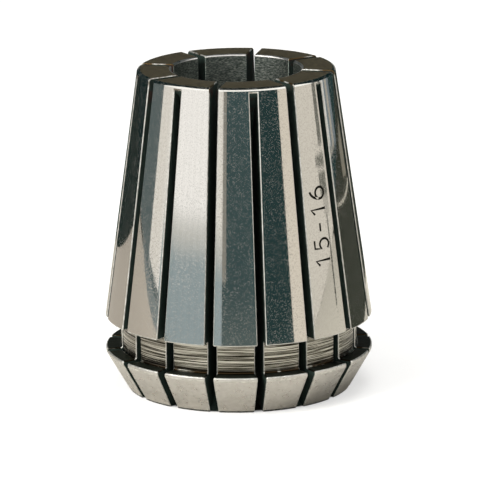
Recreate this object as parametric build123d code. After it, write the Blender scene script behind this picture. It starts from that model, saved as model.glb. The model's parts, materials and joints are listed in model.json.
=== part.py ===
from build123d import *
from math import radians, sqrt, tan
import os

# A slotted spring collet for a milling or drill chuck, turned from one bar of spring steel.
# It stands on its front face, the end towards the clamping nut, and +Z runs up its axis to the small end.
# The 8 degree cone seats in the spindle, and the nut pulls on the neck and presses on the front cone.
# Sixteen saw cuts let it close evenly: eight start at the small end and eight at the front, turn about.
# All sizes are in millimetres and all angles in degrees.

# Overall sizes
total_length = 40.0
flange_diameter = 33.0
cone_large_diameter = 33.0
neck_diameter = 29.2
bore_diameter = 16.0

# Heights along the axis
flange_height = 5.1
rim_land = 0.45
neck_length = 3.95

# Cone angles, measured from the axis
seat_angle = 8.0
front_angle = 30.0

# Edges of the turned blank
ring_edge_break = 0.15
neck_corner_bevel = 0.2
small_end_radius = 0.35
front_bore_chamfer = 0.5
small_end_bore_chamfer = 0.25

# Saw cuts
slots_per_end = 8
slot_width = 1.0
saw_diameter = 63.0
saw_overrun = 3.5
small_end_web = 0.55
front_web_inset = 0.3
slot_edge_break = 0.12

# How far the cutting tools run past the metal
tool_margin = 3.0
bevel_reach = 0.3
bevel_overlap = 0.1


# Radii and heights that follow from the sizes above
flange_radius = flange_diameter / 2
cone_large_radius = cone_large_diameter / 2
neck_radius = neck_diameter / 2
bore_radius = bore_diameter / 2
front_radius = flange_radius - (flange_height - rim_land) * tan(radians(front_angle))
cone_base_height = flange_height + neck_length
slot_pitch = 360 / slots_per_end


def seat_radius(height):
    """Radius of the seat cone at a height above the front face."""
    return cone_large_radius - (height - cone_base_height) * tan(radians(seat_angle))


# The turned blank: its half section, drawn with the radius along X and the height along Y
def corners(section, places):
    """The vertices of the section that lie nearest to the given radii and heights."""
    return [section.vertices().sort_by_distance((radius, height, 0))[0] for radius, height in places]


def half_section(inner_radius):
    """Half section of the blank, with its turned edges, from inner_radius outwards."""
    small_end_corner = (seat_radius(total_length), total_length)
    rim_corner = (flange_radius, flange_height)
    cone_corner = (cone_large_radius, cone_base_height)
    neck_corners = [(neck_radius, flange_height), (neck_radius, cone_base_height)]
    outline = [
        (inner_radius, 0),
        (front_radius, 0),
        (flange_radius, flange_height - rim_land),
        rim_corner,
        neck_corners[0],
        neck_corners[1],
        cone_corner,
        small_end_corner,
        (inner_radius, total_length),
    ]
    section = make_face(Polyline(outline, close=True))
    section = chamfer(corners(section, [(front_radius, 0), rim_corner, cone_corner]), ring_edge_break)
    section = chamfer(corners(section, neck_corners), neck_corner_bevel)
    return fillet(corners(section, [small_end_corner]), small_end_radius)


def turned_blank():
    """The blank as it leaves the lathe, with a lead-in at both ends of the bore."""
    section = half_section(bore_radius)
    section = chamfer(corners(section, [(bore_radius, 0)]), front_bore_chamfer)
    section = chamfer(corners(section, [(bore_radius, total_length)]), small_end_bore_chamfer)
    return revolve(Plane.XZ * section, axis=Axis.Z, revolution_arc=360)


# The saw cuts: a round saw plunges past the bore wall and then travels along the axis to one end.
# The arc of the saw stays at the closed end of each cut, so a web of metal is left near the bore.
saw_radius = saw_diameter / 2
saw_axis_radius = bore_radius - saw_overrun + saw_radius


def saw_rise(radius):
    """Height of the saw's rim above or below its own axis, where it crosses a given radius."""
    return sqrt(saw_radius**2 - (saw_axis_radius - radius) ** 2)


def swept_saw(saw_height, open_height, closed_side):
    """Face that the saw covers in its own plane: closed_side is -1 below the saw and +1 above it."""
    deepest = saw_axis_radius - saw_radius
    rim_angle = 180 if closed_side < 0 else 90
    rim_end = saw_height + closed_side * saw_radius
    with BuildSketch(Plane.XZ) as sweep:
        with BuildLine():
            Line((deepest, open_height), (deepest, saw_height))
            CenterArc((saw_axis_radius, saw_height), saw_radius, rim_angle, 90)
            Line((saw_axis_radius, rim_end), (saw_axis_radius, open_height))
            Line((saw_axis_radius, open_height), (deepest, open_height))
        make_face()
    return sweep.sketch.face()


def edge_breaker(start, end):
    """Bar that breaks both edges of a slot at 45 degrees, along one straight run of the outline."""
    run = Vector(end[0] - start[0], 0, end[1] - start[1])
    section_plane = Plane(origin=(start[0], 0, start[1]), x_dir=(0, -1, 0), z_dir=run.normalized())
    depth = slot_edge_break + bevel_overlap
    bottom = slot_width / 2 - bevel_overlap
    top = slot_width / 2 + slot_edge_break + bevel_reach
    lower_corners = [(-bottom, -depth), (bottom, -depth)]
    upper_corners = [(top, bevel_reach), (-top, bevel_reach)]
    bar = make_face(Polyline(lower_corners + upper_corners, close=True))
    return extrude(section_plane * bar, amount=run.length)


def edge_breakers(mouth):
    """Bars along (radius, height, overrun) corners: past an outer corner, short of an inner one."""
    bars = []
    for (radius, height, overrun), (next_radius, next_height, next_overrun) in zip(mouth, mouth[1:]):
        run = Vector(next_radius - radius, next_height - height)
        step = run.normalized()
        start = Vector(radius, height) - step * overrun
        end = Vector(next_radius, next_height) + step * next_overrun
        bars.append(edge_breaker((start.X, start.Y), (end.X, end.Y)))
    return bars


def slot_cutter(saw_height, open_height, closed_side, mouth):
    """One saw cut at azimuth zero, with the bars that break its edges."""
    sweep = swept_saw(saw_height, open_height, closed_side)
    cut = extrude(sweep, amount=slot_width / 2, both=True)
    return cut + edge_breakers(mouth)


# Corners that every slot crosses, from the front cone up to the large end of the seat cone
shared_mouth = [
    (front_radius, 0, bevel_reach),
    (flange_radius, flange_height - rim_land, bevel_reach),
    (flange_radius, flange_height, bevel_reach),
    (neck_radius, flange_height, -neck_corner_bevel),
    (neck_radius, cone_base_height, -neck_corner_bevel),
    (cone_large_radius, cone_base_height, bevel_reach),
]


def slots_from_small_end():
    """Cuts that are open at the small end and run out through the front cone."""
    saw_height = saw_rise(front_radius - front_web_inset)
    small_end_corners = [
        (seat_radius(total_length), total_length, bevel_reach),
        (bore_radius, total_length, bevel_reach),
    ]
    cutter = slot_cutter(saw_height, total_length + tool_margin, -1, shared_mouth + small_end_corners)
    return [cutter.rotate(Axis.Z, index * slot_pitch) for index in range(slots_per_end)]


def slots_from_front():
    """Cuts that are open at the front, half a pitch round, and stop just short of the small end."""
    web_height = total_length - small_end_web
    saw_height = web_height - saw_rise(seat_radius(web_height))
    mouth = [(bore_radius, 0, bevel_reach)] + shared_mouth + [(seat_radius(web_height), web_height, 0)]
    cutter = slot_cutter(saw_height, -tool_margin, 1, mouth)
    half_pitch = slot_pitch / 2
    return [cutter.rotate(Axis.Z, half_pitch + index * slot_pitch) for index in range(slots_per_end)]


collet = turned_blank() - slots_from_small_end() - slots_from_front()

os.makedirs("parts", exist_ok=True)
export_step(collet.solid(), "parts/collet.step")
print(f"collet: {len(collet.solids())} solid, {collet.volume:.1f} cubic mm, valid {collet.is_valid}")
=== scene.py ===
# %% [markdown]
# # A slotted spring collet, standing on its front face
# A spring collet is a steel ring that a nut pushes into a tapered socket, so that it closes on the shank of
# a tool. It is turned from one bar, slotted with a round saw from both ends, hardened and then ground.
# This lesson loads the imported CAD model, takes its sizes, and builds a finer mesh of the same ring with
# the finishes that each machine left on it.

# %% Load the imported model
import json
import math

import bpy
import bmesh
from mathutils import Matrix, Vector


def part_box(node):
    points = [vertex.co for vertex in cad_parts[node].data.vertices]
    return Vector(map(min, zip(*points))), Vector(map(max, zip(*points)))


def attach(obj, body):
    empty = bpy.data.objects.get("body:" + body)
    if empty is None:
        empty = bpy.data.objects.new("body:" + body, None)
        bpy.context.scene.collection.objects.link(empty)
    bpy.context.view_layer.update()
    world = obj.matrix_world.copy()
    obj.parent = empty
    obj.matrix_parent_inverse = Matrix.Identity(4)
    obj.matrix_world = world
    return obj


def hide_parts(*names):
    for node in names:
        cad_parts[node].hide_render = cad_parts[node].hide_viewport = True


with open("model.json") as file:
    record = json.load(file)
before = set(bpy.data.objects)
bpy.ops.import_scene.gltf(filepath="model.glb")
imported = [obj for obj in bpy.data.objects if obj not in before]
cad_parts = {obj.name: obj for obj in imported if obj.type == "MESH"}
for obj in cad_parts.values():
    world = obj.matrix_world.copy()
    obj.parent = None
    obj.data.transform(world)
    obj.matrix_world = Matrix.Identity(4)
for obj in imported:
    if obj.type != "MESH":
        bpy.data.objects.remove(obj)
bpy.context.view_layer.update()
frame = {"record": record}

MM = 0.001

ring_low, ring_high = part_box("collet")

# %% [markdown]
# ## The sizes of the ring
# The lengths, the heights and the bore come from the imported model, so the mesh can't drift away from the
# CAD. The angles, the groove's depth and the tools' marks are given here, in millimetres, and the mesh is
# scaled to metres when it is made.

# %% Sizes from the frame
mounts = {mount["name"]: mount for mount in frame["record"]["mounts"]}

slot_width = 1.0
slot_edge_break = 0.12
bore_edge_break = 0.05
slots_per_end = 8
seat_angle = math.radians(8.0)
front_angle = math.radians(30.0)
neck_depth = 1.9

total_length = (ring_high.z - ring_low.z) / MM
bore_radius = mounts["shank_bore"]["dims"]["r_mm"]
cone_base_height = mounts["seat_cone"]["pos_m"][2] / MM
flange_height = mounts["nut_groove"]["pos_m"][2] / MM
rim_height = mounts["front_cone"]["pos_m"][2] / MM

# A slot takes the outermost point on the X axis away, so the radius is worked out from that slot's edge.
flange_radius = math.hypot(ring_high.x / MM, slot_width / 2 + slot_edge_break)
neck_radius = flange_radius - neck_depth
front_radius = flange_radius - rim_height * math.tan(front_angle)


def seat_radius(height):
    """Radius of the seat cone at a height above the front face."""
    return flange_radius - (height - cone_base_height) * math.tan(seat_angle)


small_end_radius = seat_radius(total_length)
print(f"flange radius {flange_radius:.2f} mm, small end radius {small_end_radius:.2f} mm")

# %% [markdown]
# ## The round saw
# A round saw plunged towards the axis and then ran out at one end of the ring. Its rim leaves an arc at
# the closed end of the slot, which is easy to forget in a model. Where the arc crosses the outline of the
# ring, the slot ends and a web of metal begins.

# %% Where the saw cuts stop
saw_radius = 31.5
saw_overrun = 3.5
front_web_inset = 0.3
small_end_web = 0.55
saw_axis_radius = bore_radius - saw_overrun + saw_radius


def saw_rise(radius):
    """Height of the saw's rim above or below its own axis, where it crosses a radius."""
    return math.sqrt(saw_radius ** 2 - (saw_axis_radius - radius) ** 2)


front_web_radius = front_radius - front_web_inset
top_saw_height = saw_rise(front_web_radius)
top_slot_floor = top_saw_height - saw_rise(bore_radius)

web_height = total_length - small_end_web
web_radius = seat_radius(web_height)
front_saw_height = web_height - saw_rise(web_radius)
front_slot_floor = front_saw_height + saw_rise(bore_radius)
print(f"slots stop at {top_slot_floor:.2f} mm and {front_slot_floor:.2f} mm in the bore")

# %% [markdown]
# ## The outline that is turned round the axis
# Half of the ring's section is a closed chain of corners. No real corner is sharp: a stone or a light cut
# breaks it, and that small round catches a line of light. So each corner has a leg, the length that the
# round takes from both sides, and a number of steps, where one step is a plain chamfer. Each stretch has a
# finish, named for its surface, and satin is the only one that several surfaces share.


# %% Corners of the half section, each with its round
def rounded(before, corner, after, leg, steps):
    """Points of a round that is tangent to both sides of a corner."""
    to_before = (before - corner).normalized()
    to_after = (after - corner).normalized()
    if steps == 1:
        return [corner + to_before * leg, corner + to_after * leg]
    half_angle = to_before.angle(to_after) / 2
    middle = (to_before + to_after).normalized()
    centre = corner + middle * (leg / math.cos(half_angle))
    first = corner + to_before * leg - centre
    turn = first.angle_signed(corner + to_after * leg - centre)
    return [centre + Matrix.Rotation(-turn * step / steps, 2) @ first for step in range(steps + 1)]


# Each corner: radius, height, leg, steps, finish of the round, finish of the stretch that follows it
corners = [
    (bore_radius, 0, 0.5, 1, "edge", "end_face"),
    (front_radius, 0, 0.15, 3, "edge", "satin"),
    (flange_radius, rim_height, 0.08, 2, "edge", "satin"),
    (flange_radius, flange_height, 0.15, 5, "edge", "flange_top"),
    (neck_radius, flange_height, 0.2, 4, "turned", "turned"),
    (neck_radius, cone_base_height, 0.2, 4, "turned", "turned"),
    (flange_radius, cone_base_height, 0.15, 4, "edge", "seat_cone"),
    (small_end_radius, total_length, 0.35, 8, "seat_cone", "end_face"),
    (bore_radius, total_length, 0.25, 5, "satin", "bore"),
]

outline = []
for index, (radius, height, leg, steps, round_finish, next_finish) in enumerate(corners):
    before = Vector(corners[index - 1][:2])
    after = Vector(corners[(index + 1) % len(corners)][:2])
    points = rounded(before, Vector((radius, height)), after, leg, steps)
    outline += [(point, round_finish) for point in points[:-1]]
    outline.append((points[-1], next_finish))
print(f"the outline has {len(outline)} points from {len(corners)} corners")

# %% [markdown]
# ## Splitting the outline where a slot ends
# The outline needs a point where each slot ends on it. The edge is broken there as well, so the point lies
# past the saw's arc by the width of that break. The chain then starts at the top slot's end in the bore,
# so that the web at the front is one unbroken run of points.

# %% Add the ends of the slots
tolerance = 1e-4
lip_height = web_height + slot_edge_break * math.cos(seat_angle)
slot_ends = {
    "top_slot_front": Vector((front_web_radius - slot_edge_break, 0)),
    "front_slot_cone": Vector((seat_radius(lip_height), lip_height)),
    "front_slot_bore": Vector((bore_radius, front_slot_floor + bore_edge_break)),
    "top_slot_bore": Vector((bore_radius, top_slot_floor - bore_edge_break)),
}


def lies_between(point, start, end):
    """True where a point is on the run from start to end."""
    run = end - start
    share = (point - start).dot(run) / run.length_squared
    return 0 < share < 1 and (start + run * share - point).length < tolerance


def split(chain, point):
    """The closed chain with one more point on one of its runs."""
    for index, (start, finish) in enumerate(chain):
        if lies_between(point, start, chain[(index + 1) % len(chain)][0]):
            return chain[:index + 1] + [(point, finish)] + chain[index + 1:]
    raise ValueError(f"{point} is on no run")


for point in slot_ends.values():
    outline = split(outline, point)

first = [point for point, finish in outline].index(slot_ends["top_slot_bore"])
outline = outline[first:] + outline[:first]
places = [point for point, finish in outline]
place_of = {name: places.index(point) for name, point in slot_ends.items()}
print("slot ends along the outline:", place_of)


def outward(index):
    """Outward direction of the outline at one of its points."""
    into = (places[index] - places[index - 1]).normalized()
    out_of = (places[(index + 1) % len(places)] - places[index]).normalized()
    along = (into + out_of).normalized()
    return Vector((along.y, -along.x))


# %% [markdown]
# ## One sector of the ring
# The ring repeats every 45 degrees and is the same left and right, so all of its shape is in a sector of
# 22.5 degrees, from the middle of one slot to the middle of the next. Every finger comes out the same, as
# the dividing head did it on the real one. A slot knows which rows of the outline it cuts and which are
# its web, and where its edge, its wall and the saw's arc lie.

# %% What a slot takes away
half_slot = slot_width / 2
sector_angle = math.pi / slots_per_end
finger_columns = 24
arc_steps = 10
row_count = len(places)


class Slot:
    """A bounding slot: its middle plane, the side that the finger is on, and what the saw left."""

    def __init__(self, angle, side, web_start, web_end, saw_height, closed_side, saw_ends):
        self.turn = Matrix.Rotation(angle, 3, "Z")
        self.angle = angle
        self.side = side
        self.web = [(web_start + step) % row_count for step in range((web_end - web_start) % row_count + 1)]
        self.open = [(web_end + step) % row_count for step in range((web_start - web_end) % row_count + 1)]
        self.arc = self.saw_arc(saw_height, closed_side, saw_ends)

    def point(self, radius, across, height):
        """A point at a radius and a height, by its distance from the middle plane."""
        return self.turn @ Vector((math.sqrt(radius ** 2 - across ** 2), self.side * across, height))

    def edge_break(self, row):
        """How much of the slot's edge is broken at a row."""
        in_bore = places[row].x < bore_radius + tolerance
        return bore_edge_break if in_bore else slot_edge_break

    def surface_angle(self, row):
        """Azimuth where the turned surface ends beside this slot."""
        across = half_slot + self.edge_break(row)
        return self.angle + self.side * math.asin(across / places[row].x)

    def wall_point(self, row):
        """The point of the slot's wall below the broken edge."""
        saw_ends = {self.web[0]: self.arc[0], self.web[-1]: self.arc[-1]}
        radius, height = saw_ends.get(row) or places[row] - outward(row) * self.edge_break(row)
        return self.point(radius, half_slot, height)

    def row_across(self, place, edge):
        """Points at one radius and height, from the slot's edge to its middle plane."""
        radius, height = place
        return [self.point(radius, across, height) for across in (edge, half_slot / 2, 0)]

    def web_row(self, row):
        """Points of the turned surface across the web."""
        return self.row_across(places[row], half_slot + self.edge_break(row))

    def saw_row(self, step):
        """Points across the floor that the saw's rim left."""
        return self.row_across(self.arc[step], half_slot)

    def saw_arc(self, saw_height, closed_side, saw_ends):
        """Radius and height along the saw's rim, between the broken edges at its ends."""
        angles = [math.acos((saw_axis_radius - radius) / saw_radius) for radius in saw_ends]
        step_in = math.copysign(1 / saw_radius, angles[1] - angles[0])
        angles[0] += step_in * self.edge_break(self.web[0])
        angles[1] -= step_in * self.edge_break(self.web[-1])
        points = []
        for step in range(arc_steps + 1):
            angle = angles[0] + (angles[1] - angles[0]) * step / arc_steps
            radius = saw_axis_radius - saw_radius * math.cos(angle)
            points.append((radius, saw_height + closed_side * saw_radius * math.sin(angle)))
        return points


# %% The two slots that bound the sector
top_slot = Slot(
    angle=0.0, side=1, web_start=place_of["top_slot_bore"], web_end=place_of["top_slot_front"],
    saw_height=top_saw_height, closed_side=-1, saw_ends=(bore_radius, front_web_radius),
)
front_slot = Slot(
    angle=sector_angle, side=-1, web_start=place_of["front_slot_cone"], web_end=place_of["front_slot_bore"],
    saw_height=front_saw_height, closed_side=1, saw_ends=(web_radius, bore_radius),
)
print(f"webs take {len(top_slot.web)} and {len(front_slot.web)} of the {row_count} rows")

# %% [markdown]
# ## The faces of the sector
# Every face lies between two rows of points. The stone that broke the slots' edges left them bright. It
# didn't reach the face of the flange, where they keep their scale, or the bore, where they stay reamed.

# %% Faces of the sector
faces = []
unstoned = {"flange_top": "turned", "bore": "bore"}


def add_strip(first_points, second_points, finish):
    """Faces between two rows of points."""
    for index in range(len(first_points) - 1):
        first, second = first_points[index:index + 2], second_points[index:index + 2]
        faces.append(([*first, *reversed(second)], finish))


def turned_row(row):
    """Points of the turned surface at a row, from one slot's edge to the other's."""
    radius, height = places[row]
    start, end = top_slot.surface_angle(row), front_slot.surface_angle(row)
    angles = [start + (end - start) * column / finger_columns for column in range(finger_columns + 1)]
    return [Vector((radius * math.cos(angle), radius * math.sin(angle), height)) for angle in angles]


def add_slot(slot):
    """The broken edge, the web, the saw's arc and the wall of one slot."""
    edge_line = [slot.web_row(row)[0] for row in slot.open]
    wall_line = [slot.wall_point(row) for row in slot.open]
    for start, row in enumerate(slot.open[:-1]):
        pair = slice(start, start + 2)
        add_strip(edge_line[pair], wall_line[pair], unstoned.get(outline[row][1], "edge"))
    for row, following in zip(slot.web, slot.web[1:]):
        add_strip(slot.web_row(row), slot.web_row(following), outline[row][1])
    add_strip(slot.web_row(slot.web[0]), slot.saw_row(0), "edge")
    add_strip(slot.web_row(slot.web[-1]), slot.saw_row(arc_steps), "edge")
    for step in range(arc_steps):
        add_strip(slot.saw_row(step), slot.saw_row(step + 1), "slot_wall")
    floor_line = [slot.saw_row(step)[0] for step in range(1, arc_steps)]
    faces.append((wall_line + floor_line, "slot_wall"))


for row, (place, finish) in enumerate(outline):
    add_strip(turned_row(row), turned_row((row + 1) % row_count), finish)
add_slot(top_slot)
add_slot(front_slot)
print(f"{len(faces)} faces in the sector")

# %% [markdown]
# ## The sector as a mesh
# Each face brings its own points, so a weld joins it to its neighbours. An attribute keeps the number of
# its finish until the materials are made.

# %% The sector as a mesh
finishes = ["seat_cone", "satin", "flange_top", "turned", "end_face", "bore", "slot_wall", "edge"]
weld_distance = 0.0005 * MM


def new_object(name, data):
    """An object of the scene that shows the given data."""
    made = bpy.data.objects.new(name, data)
    bpy.context.scene.collection.objects.link(made)
    return made


def sector_mesh():
    """The sector's faces, welded, each with the number of its finish."""
    edit = bmesh.new()
    finish_layer = edit.faces.layers.int.new("finish")
    for points, finish in faces:
        face = edit.faces.new([edit.verts.new(point * MM) for point in points])
        face[finish_layer] = finishes.index(finish)
    bmesh.ops.remove_doubles(edit, verts=edit.verts, dist=weld_distance)
    mesh = bpy.data.meshes.new("sector")
    edit.to_mesh(mesh)
    edit.free()
    return mesh


ring = new_object("sector", sector_mesh())
print(f"the sector has {len(ring.data.polygons)} faces after welding")

# %% [markdown]
# ## Colours and a helper for nodes
# Colours are written as the hex values that a screen shows, and one function turns them into the linear
# light that Blender calculates with. One more helper adds a node with its settings, numbers and links,
# which keeps each material short enough to read.


# %% Helpers for every node tree
def linear(hex_colour):
    """An sRGB hex colour as linear light, with full alpha."""
    channels = [int(hex_colour[start:start + 2], 16) / 255 for start in (1, 3, 5)]
    light = [c / 12.92 if c <= 0.04045 else ((c + 0.055) / 1.055) ** 2.4 for c in channels]
    return (*light, 1.0)


def add_node(tree, kind, settings=None, values=None, links=None, stops=None):
    """Adds a node. A link comes from a socket, or from the first output of a node."""
    node = tree.nodes.new(kind)
    for name, setting in (settings or {}).items():
        setattr(node, name, setting)
    for socket, value in (values or {}).items():
        node.inputs[socket].default_value = value
    for socket, source in (links or {}).items():
        output = source if isinstance(source, bpy.types.NodeSocket) else source.outputs[0]
        tree.links.new(output, node.inputs[socket])
    for index, (place, colour) in enumerate(stops or []):
        elements = node.color_ramp.elements
        if index == len(elements):
            elements.new(place)
        elements[index].position = place
        elements[index].color = linear(colour)
    return node


def new_material(name):
    """An empty material with its node tree."""
    made = bpy.data.materials.new(name)
    made.use_nodes = True
    made.node_tree.nodes.clear()
    return made, made.node_tree


print("linear light of mid grey:", [round(value, 3) for value in linear("#808080")[:3]])

# %% [markdown]
# ## Ground steel of the seat cone
# The seat is hardened spring steel, ground round on a cylindrical grinder and lightly polished. Steel is a
# metal, so its colour is that of its reflection, and nearly all of its look is what it mirrors. The polish
# leaves fine pits. Each is a rough spot with a trace of dirt that scatters the light of the room, so it is
# light on a dark reflection and dark on a bright one. Real pits are hundredths of a millimetre across, but
# they are drawn 0.12 mm wide, just coarse enough to show. The grinder also leaves shallow waves that bend
# the reflection a little.

# %% Ground steel
pit_size = 0.12
wave_size = 4.0


def ground_steel():
    """Hardened spring steel, ground: a nearly clean mirror with fine pits."""
    made, tree = new_material("ground_spring_steel")
    place = add_node(tree, "ShaderNodeTexCoord").outputs["Object"]
    pits = add_node(
        tree, "ShaderNodeTexVoronoi", values={"Scale": 1 / (pit_size * MM)}, links={"Vector": place}
    ).outputs["Color"]
    waves = add_node(
        tree, "ShaderNodeTexNoise", values={"Scale": 1 / (wave_size * MM), "Detail": 3.0, "Roughness": 0.6},
        links={"Vector": place},
    )
    tint = add_node(
        tree, "ShaderNodeValToRGB", links={"Fac": pits}, stops=[(0.3, "#CFCDC8"), (0.9, "#C5C3BE")]
    )
    dull = add_node(
        tree, "ShaderNodeMapRange",
        values={"From Min": 0.45, "From Max": 0.95, "To Min": 0.015, "To Max": 0.15}, links={"Value": pits},
    )
    bare = add_node(
        tree, "ShaderNodeMapRange",
        values={"From Min": 0.6, "From Max": 0.9, "To Min": 1.0, "To Max": 0.89}, links={"Value": pits},
    )
    bump = add_node(
        tree, "ShaderNodeBump", values={"Strength": 0.1, "Distance": 0.01 * MM}, links={"Height": waves}
    )
    shader = add_node(
        tree, "ShaderNodeBsdfPrincipled",
        links={"Base Color": tint, "Metallic": bare, "Roughness": dull, "Normal": bump},
    )
    add_node(tree, "ShaderNodeOutputMaterial", links={"Surface": shader})
    return made


materials = {"seat_cone": ground_steel()}
print("made", materials["seat_cone"].name)

# %% [markdown]
# ## The duller finishes
# Every other surface is the same steel, dulled by some process: satin grinding, scale from hardening, a
# reamer or the saw. They differ in their marks, in colour and in roughness, so they share one function,
# and each call below says what the real surface is. The size of the marks is in millimetres along X, Y and
# Z, so long marks that run round the ring are small along Z only. Oil and rust gather in patches at one
# end of a surface, which is a stain.

# %% A stain at one end of a surface
patch_size = 1.5


def add_stain(tree, place, colour, stain):
    """Lays patches of another colour over a colour.

    A stain is a colour, the height in mm where it begins, where it is full, and how bare it stays, 0 to 1.
    """
    stain_colour, clean_height, stained_height, bare = stain
    height = add_node(tree, "ShaderNodeSeparateXYZ", links={"Vector": place})
    reach = add_node(
        tree, "ShaderNodeMapRange", values={"From Min": clean_height * MM, "From Max": stained_height * MM},
        links={"Value": height.outputs["Z"]},
    )
    patches = add_node(
        tree, "ShaderNodeTexNoise", values={"Scale": 1 / (patch_size * MM), "Detail": 2.0},
        links={"Vector": place},
    )
    patchy = add_node(
        tree, "ShaderNodeMapRange", values={"From Min": bare, "From Max": bare + 0.1},
        links={"Value": patches},
    )
    share = add_node(
        tree, "ShaderNodeMath", settings={"operation": "MULTIPLY"}, links={0: reach, 1: patchy}
    )
    return add_node(
        tree, "ShaderNodeMix", settings={"data_type": "RGBA"}, values={7: linear(stain_colour)},
        links={0: share, 6: colour},
    ).outputs[2]


# %% One function for the duller finishes
def dulled_steel(name, stops, marks_mm, roughness, bump_mm, stain=None, metallic=1.0, specular=0.5):
    """Steel with marks in colour, roughness and height, and a stain if one is given."""
    made, tree = new_material(name)
    place = add_node(tree, "ShaderNodeTexCoord").outputs["Object"]
    stretched = add_node(
        tree, "ShaderNodeMapping", values={"Scale": [1 / (size * MM) for size in marks_mm]},
        links={"Vector": place},
    )
    marks = add_node(
        tree, "ShaderNodeTexNoise", values={"Scale": 1.0, "Detail": 3.0, "Roughness": 0.65},
        links={"Vector": stretched},
    )
    colour = add_node(tree, "ShaderNodeValToRGB", links={"Fac": marks}, stops=stops)
    if stain:
        colour = add_stain(tree, place, colour, stain)
    dull = add_node(
        tree, "ShaderNodeMapRange",
        values={"From Min": 0.35, "From Max": 0.65, "To Min": roughness[0], "To Max": roughness[1]},
        links={"Value": marks},
    )
    bump = add_node(
        tree, "ShaderNodeBump", values={"Strength": 0.5, "Distance": bump_mm * MM}, links={"Height": marks}
    )
    shader = add_node(
        tree, "ShaderNodeBsdfPrincipled", values={"Metallic": metallic, "Specular IOR Level": specular},
        links={"Base Color": colour, "Roughness": dull, "Normal": bump},
    )
    add_node(tree, "ShaderNodeOutputMaterial", links={"Surface": shader})
    return made


# %% [markdown]
# ## Front cone and flange
# The nut slides on the front cone, so it is ground too, but left satin, as is the narrow rim above it and
# the chamfer at the top of the bore. The face of the flange is not ground and keeps the blue black scale
# of hardening. Scale is an oxide and no metal, so its metallic value is 0.

# %% Finishes of the front cone and the flange
materials["satin"] = dulled_steel(
    "satin_ground_steel",
    stops=[(0.3, "#BCBAB7"), (0.5, "#C4C2C0"), (0.7, "#CCCAC8")],
    marks_mm=(0.9, 0.9, 0.6),
    roughness=(0.26, 0.36),
    bump_mm=0.004,
)
materials["flange_top"] = dulled_steel(
    "blued_flange_face",
    stops=[(0.35, "#080C09"), (0.5, "#101410"), (0.65, "#20211A")],
    marks_mm=(0.5, 0.5, 0.5),
    roughness=(0.35, 0.5),
    bump_mm=0.01,
    metallic=0.0,
    specular=0.04,
)
print("made", materials["satin"].name, "and", materials["flange_top"].name)

# %% [markdown]
# ## The turned groove
# The groove is never ground. It keeps the ridges of the lathe tool, which run round it, and the scale of
# hardening, which oil has turned brown at the foot. The dark patches there are partly that oil and partly
# painted shade in the corner against the flange. Real ridges are a few hundredths of a millimetre
# apart, which is too fine to show, so they are drawn 0.1 mm apart.

# %% Finish of the groove
materials["turned"] = dulled_steel(
    "turned_steel_with_scale",
    stops=[(0.4, "#12110E"), (0.46, "#5C5A51"), (0.53, "#94928A"), (0.62, "#D8D6CE")],
    marks_mm=(9.0, 9.0, 0.1),
    roughness=(0.2, 0.36),
    bump_mm=0.02,
    # Dark patches at the foot: oil and rust, and also painted shade in the corner against the flange
    stain=("#2B2012", 5.9, 5.2, 0.35),
)
print("made", materials["turned"].name)

# %% [markdown]
# ## End faces, bore and edges
# The end faces are left as they came out of the tempering furnace, a dull olive brown. The bore was reamed,
# so it is grey and finely scored round. The edges were broken with a stone. That leaves them brighter than
# the faces beside them, but too scratched to be a full mirror, with a little old oil near the top.

# %% Finishes of the end faces, the bore and the edges
materials["end_face"] = dulled_steel(
    "tempered_end_face",
    stops=[(0.3, "#524C3C"), (0.5, "#5E5747"), (0.7, "#69624F")],
    marks_mm=(0.5, 0.5, 0.5),
    roughness=(0.45, 0.6),
    bump_mm=0.01,
)
materials["bore"] = dulled_steel(
    "reamed_bore",
    stops=[(0.36, "#424A46"), (0.5, "#5E6561"), (0.64, "#8E928A")],
    marks_mm=(0.35, 0.35, 0.1),
    roughness=(0.34, 0.54),
    bump_mm=0.025,
)
materials["edge"] = dulled_steel(
    "stoned_edge",
    stops=[(0.3, "#A8A7A2"), (0.5, "#BFBEB9"), (0.7, "#D6D5D0")],
    marks_mm=(0.5, 0.5, 0.5),
    roughness=(0.3, 0.45),
    bump_mm=0.005,
    stain=("#4A3A20", 39.0, 39.6, 0.46),
    metallic=0.8,
)
print("made", [materials[name].name for name in ("end_face", "bore", "edge")])

# %% [markdown]
# ## Inside the slots, and the cut numbers
# The saw leaves a rough wall that scale and oil have turned nearly black, with some rust at the closed ends
# near the top. The numbers are rolled in with a die before hardening, so dirt stays in them.

# %% Finishes of the slots and the numbers
materials["slot_wall"] = dulled_steel(
    "sawn_steel_with_scale",
    stops=[(0.3, "#121D19"), (0.5, "#1B2823"), (0.7, "#27342E")],
    marks_mm=(0.3, 0.3, 2.0),
    roughness=(0.7, 0.9),
    bump_mm=0.02,
    stain=("#2B1D17", 36.0, 38.5, 0.55),
    metallic=0.0,
    specular=0.2,
)
mark_material = dulled_steel(
    "rolled_in_numbers",
    stops=[(0.3, "#12120E"), (0.5, "#1E1E19"), (0.7, "#2E2D26")],
    marks_mm=(0.3, 0.3, 0.3),
    roughness=(0.6, 0.8),
    bump_mm=0.01,
)
print("made", materials["slot_wall"].name, "and", mark_material.name)

# %% [markdown]
# ## Repeating the sector with Geometry Nodes
# A tree of nodes mirrors the sector in the plane of its first slot, sets eight copies of the pair round
# the axis, makes them real and welds them. The number of pairs and the weld distance are its inputs, so a
# collet with fewer slots is one number away. The attribute then says which material each face gets.


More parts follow.
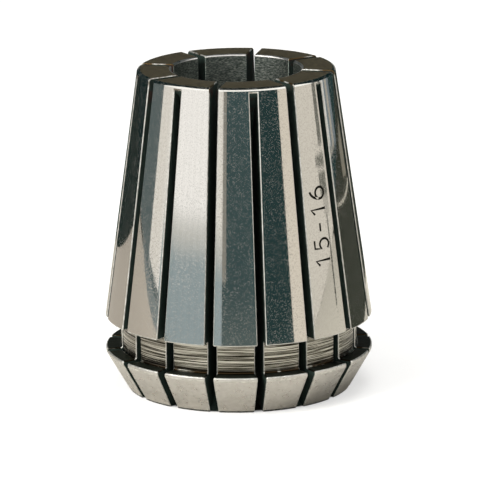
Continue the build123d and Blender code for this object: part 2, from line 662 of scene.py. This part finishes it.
# %% The tree that makes the ring
def ring_tree():
    """Geometry Nodes that turn the sector into the whole ring."""
    tree = bpy.data.node_groups.new("slotted_ring", "GeometryNodeTree")
    for name, direction, kind in [
        ("Sector", "INPUT", "NodeSocketGeometry"),
        ("Slot pairs", "INPUT", "NodeSocketInt"),
        ("Weld distance", "INPUT", "NodeSocketFloat"),
        ("Ring", "OUTPUT", "NodeSocketGeometry"),
    ]:
        tree.interface.new_socket(name, in_out=direction, socket_type=kind)
    given = add_node(tree, "NodeGroupInput")
    mirrored = add_node(
        tree, "GeometryNodeTransform", values={"Scale": (1, -1, 1)},
        links={"Geometry": given.outputs["Sector"]},
    )
    pair = add_node(tree, "GeometryNodeJoinGeometry", links={"Geometry": given.outputs["Sector"]})
    tree.links.new(mirrored.outputs["Geometry"], pair.inputs["Geometry"])
    centres = add_node(tree, "GeometryNodePoints", links={"Count": given.outputs["Slot pairs"]})
    number = add_node(tree, "GeometryNodeInputIndex")
    pitch = add_node(
        tree, "ShaderNodeMath", settings={"operation": "DIVIDE"}, values={0: math.tau},
        links={1: given.outputs["Slot pairs"]},
    )
    angle = add_node(
        tree, "ShaderNodeMath", settings={"operation": "MULTIPLY"}, links={0: number, 1: pitch}
    )
    turn = add_node(tree, "ShaderNodeCombineXYZ", links={"Z": angle})
    copies = add_node(
        tree, "GeometryNodeInstanceOnPoints", links={"Points": centres, "Instance": pair, "Rotation": turn}
    )
    real = add_node(tree, "GeometryNodeRealizeInstances", links={"Geometry": copies})
    welded = add_node(
        tree, "GeometryNodeMergeByDistance",
        links={"Geometry": real, "Distance": given.outputs["Weld distance"]},
    )
    finish = add_node(
        tree, "GeometryNodeInputNamedAttribute", settings={"data_type": "INT"}, values={"Name": "finish"}
    )
    last = welded
    for index, name in enumerate(finishes):
        chosen = add_node(
            tree, "FunctionNodeCompare", settings={"data_type": "INT", "operation": "EQUAL"},
            values={3: index}, links={2: finish},
        )
        last = add_node(
            tree, "GeometryNodeSetMaterial", values={"Material": materials[name]},
            links={"Geometry": last, "Selection": chosen},
        )
    add_node(tree, "NodeGroupOutput", links={"Ring": last})
    return tree


# %% [markdown]
# ## From nodes to a plain mesh
# The numbers are cut into the ring next, so it becomes a plain mesh. A solid has no open edge and all
# faces point outwards. Both are seen to here, and the volume can be held against the CAD solid's.


# %% Make the ring and turn it into a plain mesh
def evaluated_mesh(made):
    """A plain mesh of an object, as its modifiers leave it."""
    graph = bpy.context.evaluated_depsgraph_get()
    return bpy.data.meshes.new_from_object(made.evaluated_get(graph))


def plain_mesh(made, name):
    """Gives the object its evaluated mesh and takes its modifiers away."""
    mesh = evaluated_mesh(made)
    made.modifiers.clear()
    made.data = mesh
    mesh.name = name
    made.name = name


pattern = ring.modifiers.new("pattern", "NODES")
pattern.node_group = ring_tree()
inputs = {item.name: item.identifier for item in pattern.node_group.interface.items_tree}
pattern[inputs["Slot pairs"]] = slots_per_end
pattern[inputs["Weld distance"]] = weld_distance
plain_mesh(ring, "slotted_ring")
print(f"the ring has {len(ring.data.polygons)} faces")


# %% Turn the faces outwards and mark the sharp edges
def finish_faces(mesh, sharp_angle):
    """Points all faces outwards and marks the edges that turn by more than an angle as sharp."""
    edit = bmesh.new()
    edit.from_mesh(mesh)
    bmesh.ops.recalc_face_normals(edit, faces=edit.faces)
    open_edges = sum(1 for edge in edit.edges if len(edge.link_faces) != 2)
    for edge in edit.edges:
        edge.smooth = edge.calc_face_angle(0.0) < sharp_angle
    for face in edit.faces:
        face.smooth = True
    volume = edit.calc_volume()
    edit.to_mesh(mesh)
    edit.free()
    return f"{len(mesh.polygons)} faces, {open_edges} open edges, {volume / MM ** 3:.1f} cubic mm"


sharp_angle = math.radians(50)
print("before the numbers are cut:", finish_faces(ring.data, sharp_angle))

# %% [markdown]
# ## The numbers on the seat cone
# A collet carries the range of shanks that it holds, as plain numbers that read upwards along one finger.
# They are real grooves here. Each figure is one line of a few strokes and arcs, laid on the cone and given
# a round section, and a Boolean takes these rods out of the ring. A texture would be quicker, but a groove
# catches the light on its far edge.

# %% The figures as lines
figure_height = 2.3
figure_middle = math.radians(-34.1)
mark_start = 17.6
stroke_radius = 0.17
stroke_lift = 0.06


def arc(centre, radii, start, end, steps=14):
    """Points along part of an ellipse, from one angle to another in degrees."""
    turns = [math.radians(start + (end - start) * step / steps) for step in range(steps + 1)]
    (x, y), (wide, high) = centre, radii
    return [(x + wide * math.cos(turn), y + high * math.sin(turn)) for turn in turns]


one = [(0.2, 1.75), (0.8, figure_height), (0.8, 0.0)]
bowl = arc((0.72, 0.75), (0.68, 0.75), 135, -140)
five = [(1.3, figure_height), (0.32, figure_height), (0.2, 1.25), *bowl]
six = [*arc((1.25, 0.7), (1.2, 1.6), 100, 176), *arc((0.75, 0.7), (0.7, 0.7), 195, 520, 24)]
dash = [(0.0, figure_height / 2), (1.0, figure_height / 2)]
figures = [(0.0, one), (2.0, five), (4.3, dash), (6.2, one), (8.2, six)]


def on_cone(along, across):
    """Where a point of a figure lies: figures run up the cone, with their tops to the left."""
    height = mark_start + along
    angle = figure_middle - (across - figure_height / 2) / seat_radius(height)
    outwards = Vector((math.cos(seat_angle), 0, math.sin(seat_angle)))
    point = Vector((seat_radius(height), 0, height)) + outwards * stroke_lift
    return Matrix.Rotation(angle, 3, "Z") @ point * MM


def figure_lines():
    """All figures as lines on the cone, with a round section."""
    line = bpy.data.curves.new("figure_rods", "CURVE")
    line.dimensions = "3D"
    line.bevel_depth = stroke_radius * MM
    line.bevel_resolution = 2
    line.use_fill_caps = True
    for shift, points in figures:
        stroke = line.splines.new("POLY")
        stroke.points.add(len(points) - 1)
        for point, (along, across) in zip(stroke.points, points):
            point.co = (*on_cone(shift + along, across), 1.0)
    return new_object("figure_lines", line)


def figure_rods():
    """Closed round rods along all figures, as one object."""
    drawn = figure_lines()
    mesh = evaluated_mesh(drawn)
    bpy.data.objects.remove(drawn)
    edit = bmesh.new()
    edit.from_mesh(mesh)
    bmesh.ops.remove_doubles(edit, verts=edit.verts, dist=weld_distance)
    bmesh.ops.recalc_face_normals(edit, faces=edit.faces)
    edit.to_mesh(mesh)
    edit.free()
    mesh.materials.append(mark_material)
    return new_object("figure_rods", mesh)


rods = figure_rods()
print(f"{len(figures)} figures, {len(rods.data.polygons)} faces")

# %% [markdown]
# ## Cutting the numbers
# The middle of a rod lies 0.06 mm above the cone, so a groove is 0.11 mm deep and 0.32 mm wide. Its faces
# keep the material of the rod, which is the dirt in the groove.

# %% Cut the figures
cut = ring.modifiers.new("figures", "BOOLEAN")
cut.operation = "DIFFERENCE"
cut.solver = "MANIFOLD"
cut.material_mode = "TRANSFER"
cut.object = rods
plain_mesh(ring, "slotted_ring")
bpy.data.objects.remove(rods)
print(f"the ring has {len(ring.data.polygons)} faces after the cut")

# %% [markdown]
# ## Shading of the finished ring
# A mirror shows every fault in the shading. Edges that turn by more than 50 degrees are marked sharp, and
# the normals are weighted by area. So the long ground faces keep their true reflection, and the narrow
# flats between them look round, as a stoned edge does.

# %% Sharp edges and weighted normals
print("ring:", finish_faces(ring.data, sharp_angle))
weighted = ring.modifiers.new("weighted", "WEIGHTED_NORMAL")
weighted.mode = "FACE_AREA"
weighted.weight = 100
weighted.keep_sharp = True
plain_mesh(ring, "slotted_ring")

# The node tree leaves an empty first place in the list of materials.
ring.data.materials.pop(index=0)

# %% [markdown]
# ## True normals on the seat
# The cut splits the long faces of the seat, and a mirror would show the joints as creases round the
# numbers. The seat is an exact cone, so its normals can be worked out, and no cut bends them.

# %% Normals of the true cone
slope_tolerance = 0.01


def set_cone_normals(mesh, material):
    """Gives the seat the normals of the true cone."""
    rise = math.sin(seat_angle)
    run = math.cos(seat_angle)
    normals = [Vector(corner.vector) for corner in mesh.corner_normals]
    changed = 0
    for polygon in mesh.polygons:
        is_ground = mesh.materials[polygon.material_index] == material
        if is_ground and abs(polygon.normal.z - rise) < slope_tolerance:
            for corner in polygon.loop_indices:
                point = mesh.vertices[mesh.loops[corner].vertex_index].co
                outwards = Vector((point.x, point.y, 0)).normalized()
                normals[corner] = outwards * run + Vector((0, 0, rise))
                changed += 1
    mesh.normals_split_custom_set(normals)
    return changed


print("corners on the true cone:", set_cone_normals(ring.data, materials["seat_cone"]))

# %% [markdown]
# ## In place of the CAD model
# The ring is one piece of steel, so it is one piece here. It moves with the root body, stands for the CAD
# ring and is mostly ground steel.

# %% Hand the ring over
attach(ring, "root")
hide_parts("collet")
print(ring.name, "stands for the CAD ring")

# %% [markdown]
# ## The floor
# The ring stands on plain white card, which the camera sees a little lighter than it is, so that it runs
# into the white background. Under the ring the card is painted dark, a painted shade that keeps it dark
# between the fingers.

# %% Floor
floor_half_size = 3000
# Painted shade under the ring: full inside the first radius, gone at the second
painted_shade_radius = 12.8
shade_end_radius = 13.8
camera_glow = 0.55


def floor_material():
    """White card that the camera sees a little lighter, with painted shade under the ring."""
    made, tree = new_material("white_card_floor")
    glow = add_node(tree, "ShaderNodeEmission", values={"Color": linear("#FFFFFF")})
    path = add_node(tree, "ShaderNodeLightPath")
    place = add_node(tree, "ShaderNodeTexCoord")
    reach = add_node(
        tree, "ShaderNodeVectorMath", settings={"operation": "LENGTH"}, links={0: place.outputs["Object"]}
    )
    outside = add_node(
        tree, "ShaderNodeMapRange",
        values={"From Min": painted_shade_radius * MM, "From Max": shade_end_radius * MM, "To Max": camera_glow},
        links={"Value": reach.outputs["Value"]},
    )
    # Painted shade: the card turns dark inside the ring, so no light shows between the fingers
    painted_shade_colour = add_node(
        tree, "ShaderNodeValToRGB", links={"Fac": outside}, stops=[(0.0, "#1E1D1A"), (0.5, "#F4F3F0")]
    )
    card = add_node(tree, "ShaderNodeBsdfDiffuse", links={"Color": painted_shade_colour})
    share = add_node(
        tree, "ShaderNodeMath", settings={"operation": "MULTIPLY"},
        links={0: path.outputs["Is Camera Ray"], 1: outside},
    )
    mixed = add_node(tree, "ShaderNodeMixShader", links={0: share, 1: card, 2: glow})
    add_node(tree, "ShaderNodeOutputMaterial", links={"Surface": mixed})
    return made


def level_sheet(name, outline_mm, height, material):
    """A flat sheet with the given outline, lying level."""
    mesh = bpy.data.meshes.new(name)
    points = [(x * MM, y * MM, height * MM) for x, y in outline_mm]
    mesh.from_pydata(points, [], [tuple(range(len(points)))])
    mesh.materials.append(material)
    return new_object(name, mesh)


def square(half_size):
    """Corners of a square round the origin."""
    return [(x * half_size, y * half_size) for x, y in [(-1, -1), (1, -1), (1, 1), (-1, 1)]]


floor = level_sheet("floor", square(floor_half_size), 0.0, floor_material())
print("floor is", [round(size) for size in floor.dimensions[:2]], "m wide and deep")

# %% [markdown]
# ## What the steel mirrors
# A polished cone shows its surroundings as upright bands. A collet is photographed on paper on a dark
# bench, with a window on one side and a white card on the other. Sheets that only reflections see stand
# for the paper and the cloth, and a round screen comes after. The dark sheet at the right back is the
# ring's own shadow on the bench, painted, and the left paper is the same paper painted darker as shade.

# %% Sheets on the bench
sheet_gap = 0.05


def only_mirrored(made):
    """Hides an object from all but reflections."""
    for kind in ("camera", "diffuse", "shadow", "transmission", "volume_scatter"):
        setattr(made, f"visible_{kind}", False)


def matt_material(name, colour):
    """Plain matt paper or cloth."""
    made, tree = new_material(name)
    paper = add_node(tree, "ShaderNodeBsdfDiffuse", values={"Color": linear(colour)})
    add_node(tree, "ShaderNodeOutputMaterial", links={"Surface": paper})
    return made


# Sheets from the bench up: name, colour and outline in mm
bench_sheets = [
    ("dark_bench", "#15201E", square(320)),
    (
        "grey_cloth_left", "#5E6668",
        [(-320, 0), (-284, -30), (-190, -98), (-110, -270), (-160, -320), (-320, -320)],
    ),
    # A painted shadow: this dark sheet stands for the ring's own shadow on the bench
    ("ring_shadow_painted_sheet", "#363932", [(20, 0), (320, 60), (320, 320), (20, 320)]),
    # The same paper as on the right, painted darker as shade
    (
        "paper_left_painted_shade", "#98928A",
        [(-290, 36), (-284, -32), (-190, -98), (-110, -270), (-30, -270), (-30, 72), (-100, 64)],
    ),
    (
        "paper_right", "#BFBBB1",
        [(-30, -270), (220, -190), (290, -40), (296, 90), (240, 129), (96, 42), (60, 25), (30, 60),
         (-30, 72)],
    ),
    ("holder_foot", "#3C3F39", [(164, 41), (288, 83), (286, 91), (165, 45)]),
    ("paper_edge", "#B7B3A8", [(64, 151), (228, 151), (226, 156), (66, 156)]),
    ("pale_box", "#807C70", [(84, 163), (126, 172), (150, 212), (112, 226)]),
]
for level, (name, colour, outline_mm) in enumerate(bench_sheets):
    only_mirrored(level_sheet(name, outline_mm, sheet_gap * (level + 1), matt_material(name, colour)))
print(len(bench_sheets), "sheets on the bench")

# %% [markdown]
# ## The lights of the room
# These are amounts of red, green and blue in linear light, where 1 is white paper. They aren't screen
# colours, because a window is brighter than any of those. A light that changes is eased from one amount to
# the next, so that the steel shows no hard step.

# %% Amounts of light
left_room = Vector((0.003, 0.016, 0.017))
side_room = Vector((0.132, 0.172, 0.176))
front_room = Vector((0.06, 0.105, 0.11))
front_room_foot = Vector((0.125, 0.168, 0.166))
right_room = Vector((0.025, 0.056, 0.057))
window = Vector((1.34, 1.32, 1.3))
window_side = Vector((1.05, 1.01, 0.94))
window_sill = Vector((0.78, 0.78, 0.74))
window_foot = Vector((0.41, 0.5, 0.53))
window_frame = Vector((0.34, 0.33, 0.29))
card = Vector((0.93, 0.88, 0.79))
card_edge = Vector((0.99, 0.91, 0.79))
card_holder = Vector((0.22, 0.22, 0.19))
far_card = Vector((0.95, 0.95, 0.92))
far_card_shade = Vector((0.26, 0.31, 0.34))
far_card_edge = Vector((0.56, 0.53, 0.46))
back_card = Vector((0.27, 0.27, 0.25))
top_light = Vector((1.6, 1.6, 1.56))
ceiling = Vector((0.02, 0.025, 0.024))


def ease(value, start, end):
    """Runs smoothly from 0 at start to 1 at end."""
    share = min(max((value - start) / (end - start), 0), 1)
    return share * share * (3 - 2 * share)


print("halfway up an ease:", ease(5, 0, 10))

# %% [markdown]
# ## The window and the room in front
# Each function gives the light at a bearing and a height. Bearings are in degrees, anticlockwise from +X,
# so the camera looks in from -77, and heights are in millimetres. Glass isn't quite even, so faint upright
# streaks run through the window.

# %% Window and room
sill_height, sill_rise = 13, 9
streak_depth = 0.05
bench_back = 3


def window_light(bearing, height):
    """The window, dimmer at both sides, with a sill that rises to the right and a bluish foot."""
    if height < bench_back and bearing < -150:
        return side_room
    pane = window_side.lerp(window, ease(bearing, -158, -140) * ease(-bearing, 92, 104))
    streaks = 1 + streak_depth * math.sin(1.9 * bearing) * math.sin(0.83 * bearing)
    if bearing <= -152:
        return pane * streaks
    sill = sill_height + sill_rise * ease(bearing, -150, -105)
    below = window_foot.lerp(window_sill, ease(height, sill - 0.5, sill + 6))
    return below.lerp(pane, ease(height, sill + 5, sill + 12)) * streaks


def front_light(bearing, height):
    """The room behind the camera, paler near the bench, with the window's frame at its left."""
    if height > sill_height + sill_rise and bearing < -87.5:
        return window_frame
    return front_room_foot.lerp(front_room, ease(height, 8, 26))


def right_light(bearing, height):
    """The room to the right of the camera, paler near the bench."""
    return right_room.lerp(front_room, 0.6 * ease(-height, -12, -4))


print("light of the window:", [round(value, 2) for value in window_light(-120, 50)])

# %% [markdown]
# ## The two cards
# The near card leans a little, and a clamp holds it. The clamp is a few rectangles, because the steel
# squeezes it into a narrow band. The card further off is folded, with a shaded foot and a rail.

# %% Cards
card_lean = 0.52
holder_bearing = 16
rail_height, rail_slope, rail_half_width = 7.5, 0.4, 0.6
foot_height, foot_slope = 10.5, 0.64

# Parts of the holder: sides in degrees, foot and top in mm, and darkness. The first that fits counts.
holder_parts = [
    (16, 22, 20.5, 80, 1.0),
    (9, 22, 16.4, 18.6, 1.0),
    (11.5, 21.5, 11, 15.4, 1.0),
    (14, 21.5, 7.4, 15.4, 0.35),
    (16, 17.6, -10, 7.4, 1.0),
]


def card_light(bearing, height):
    """The near card with its dark holder."""
    level = height + card_lean * (bearing - holder_bearing)
    for left, right, low, high, darkness in holder_parts:
        if left < bearing < right and low < level < high:
            return card.lerp(card_holder, darkness)
    return card


def far_card_light(bearing, height):
    """The card further off, with its fold and its rail."""
    if height < foot_height - foot_slope * (bearing - 32):
        if abs(height - rail_height + rail_slope * (bearing - 34)) < rail_half_width:
            return far_card_edge
        return far_card_shade.lerp(right_room, ease(bearing, 33, 37))
    if bearing < 37.5:
        return far_card
    return far_card_edge if 40.5 < bearing < 45 else far_card_shade


print(len(holder_parts), "parts hold the near card")

# %% [markdown]
# ## All round the bench
# One table says what stands where, from the left round to the back. All of it is lower than 60 mm. A pale
# ceiling light takes over above that, and it is dark higher up.

# %% The light of the whole screen
standing_height = 60

# Stretches: the bearing where each ends, and its light or the function that gives it
stretches = [
    (-166, side_room),
    (-91, window_light),
    (-57, front_light),
    (-30.5, right_light),
    (-15, card_edge),
    (28, card_light),
    (31.5, right_room),
    (50, far_card_light),
    (82, right_room),
    (82.5, left_room),
    (116, back_card),
    (170.5, left_room),
    (180, side_room),
]


def low_light(bearing, height):
    """What stands on the bench at a bearing."""
    light = next(light for end, light in stretches if bearing < end)
    return light(bearing, height) if callable(light) else light


def screen_light(bearing, height):
    """What glows at a bearing and a height."""
    if height <= standing_height:
        return low_light(bearing, height)
    overhead = top_light if -168 < bearing < 20 else left_room
    upper = low_light(bearing, standing_height).lerp(overhead, ease(height, standing_height, 100))
    return upper.lerp(ceiling, ease(height, 420, 480))


print(len(stretches), "stretches round the bench")

# %% [markdown]
# ## The screen
# The screen is a drum with a lid, and its points keep the light. Its rows lie close together near the
# bench, where the steel shows the edges of things.

# %% The screen round the bench
screen_radius = 300
screen_sides = 720
screen_heights = [*(step / 2 for step in range(68)), *range(34, 60), *range(60, 540, 20)]


def screen_object():
    """A drum round the bench, with its light stored at its points."""
    mesh = bpy.data.meshes.new("screen")
    points, lights = [], []
    for height in screen_heights:
        for side in range(screen_sides):
            bearing = -180 + 360 * side / screen_sides
            angle = math.radians(bearing)
            points.append((screen_radius * math.cos(angle), screen_radius * math.sin(angle), height))
            lights.append(screen_light(bearing, height))
    sides = []
    for level in range(len(screen_heights) - 1):
        low, high = level * screen_sides, (level + 1) * screen_sides
        for side in range(screen_sides):
            after = (side + 1) % screen_sides
            sides.append((low + side, high + side, high + after, low + after))
    sides.append(tuple(range(len(points) - screen_sides, len(points))))
    mesh.from_pydata([Vector(point) * MM for point in points], [], sides)
    glow = mesh.attributes.new("glow", "FLOAT_COLOR", "POINT")
    for entry, light in zip(glow.data, lights):
        entry.color = (*light, 1.0)
    return new_object("screen", mesh)


def screen_material():
    """Glows with the light at the screen's points."""
    made, tree = new_material("studio_screen")
    stored = add_node(tree, "ShaderNodeAttribute", settings={"attribute_name": "glow"})
    glow = add_node(tree, "ShaderNodeEmission", links={"Color": stored})
    add_node(tree, "ShaderNodeOutputMaterial", links={"Surface": glow})
    return made


screen = screen_object()
screen.data.materials.append(screen_material())
only_mirrored(screen)
print(f"screen of {len(screen.data.polygons)} faces, {screen_radius} mm from the axis")

# %% [markdown]
# ## Lamps and sky
# The screen is only seen in reflections, so it lights no rough surface. Two soft lamps do that, above the
# ring and on the window's side, and a pale sky fills the shadows.


# %% Lamps and sky
def soft_lamp(name, place, size, power, colour):
    """A square area lamp that faces the middle of the ring."""
    lamp = bpy.data.lights.new(name, "AREA")
    lamp.size = size
    lamp.energy = power
    lamp.color = linear(colour)[:3]
    made = new_object(name, lamp)
    made.location = place
    aim = Vector((0, 0, total_length * MM / 2)) - Vector(place)
    made.rotation_euler = aim.to_track_quat("-Z", "Y").to_euler()


soft_lamp("top_lamp", place=(0.05, -0.05, 0.6), size=0.4, power=3.0, colour="#FFFFFF")
soft_lamp("window_lamp", place=(-0.3, -0.35, 0.35), size=0.25, power=4.0, colour="#FFFDF8")

world = bpy.data.worlds.new("studio_sky")
bpy.context.scene.world = world
world.use_nodes = True
tree = world.node_tree
tree.nodes.clear()
sky = add_node(tree, "ShaderNodeBackground", values={"Color": linear("#E8E8E6"), "Strength": 0.6})
add_node(tree, "ShaderNodeOutputWorld", links={"Surface": sky})
print("two soft lamps and a pale sky")

# %% [markdown]
# ## The camera
# The camera's place was worked out from the ring: its length, its two diameters and the bearings of its
# slots fix where a camera with a long lens stands.

# %% Camera
image_pixels = 500
focal_pixels = 4562.9
centre_x, centre_y = 237.8, 225.9
camera_bearing = math.radians(12.87)
camera_tilt = math.radians(14.07)
camera_distance = 0.5637
camera_roll = math.radians(-0.59)

camera_data = bpy.data.cameras.new("camera")
camera_data.lens = focal_pixels * camera_data.sensor_width / image_pixels
camera_data.shift_x = (image_pixels / 2 - centre_x) / image_pixels
camera_data.shift_y = (centre_y - image_pixels / 2) / image_pixels
camera = new_object("camera", camera_data)
bpy.context.scene.camera = camera

level_share = math.cos(camera_tilt)
sideways, forwards = math.sin(camera_bearing) * level_share, -math.cos(camera_bearing) * level_share
backwards = Vector((sideways, forwards, math.sin(camera_tilt)))
target = Vector((0, 0, 20 * MM))
camera.rotation_mode = "QUATERNION"
camera.location = target + backwards * camera_distance
level = (-backwards).to_track_quat("-Z", "Y")
camera.rotation_quaternion = level @ Matrix.Rotation(camera_roll, 3, "Z").to_quaternion()
print(f"lens {camera_data.lens:.1f} mm, {camera_distance / MM:.0f} mm away")

# %% [markdown]
# ## Colour
# The plain view shows each colour as it was written.

# %% Colour
bpy.context.scene.view_settings.view_transform = "Standard"
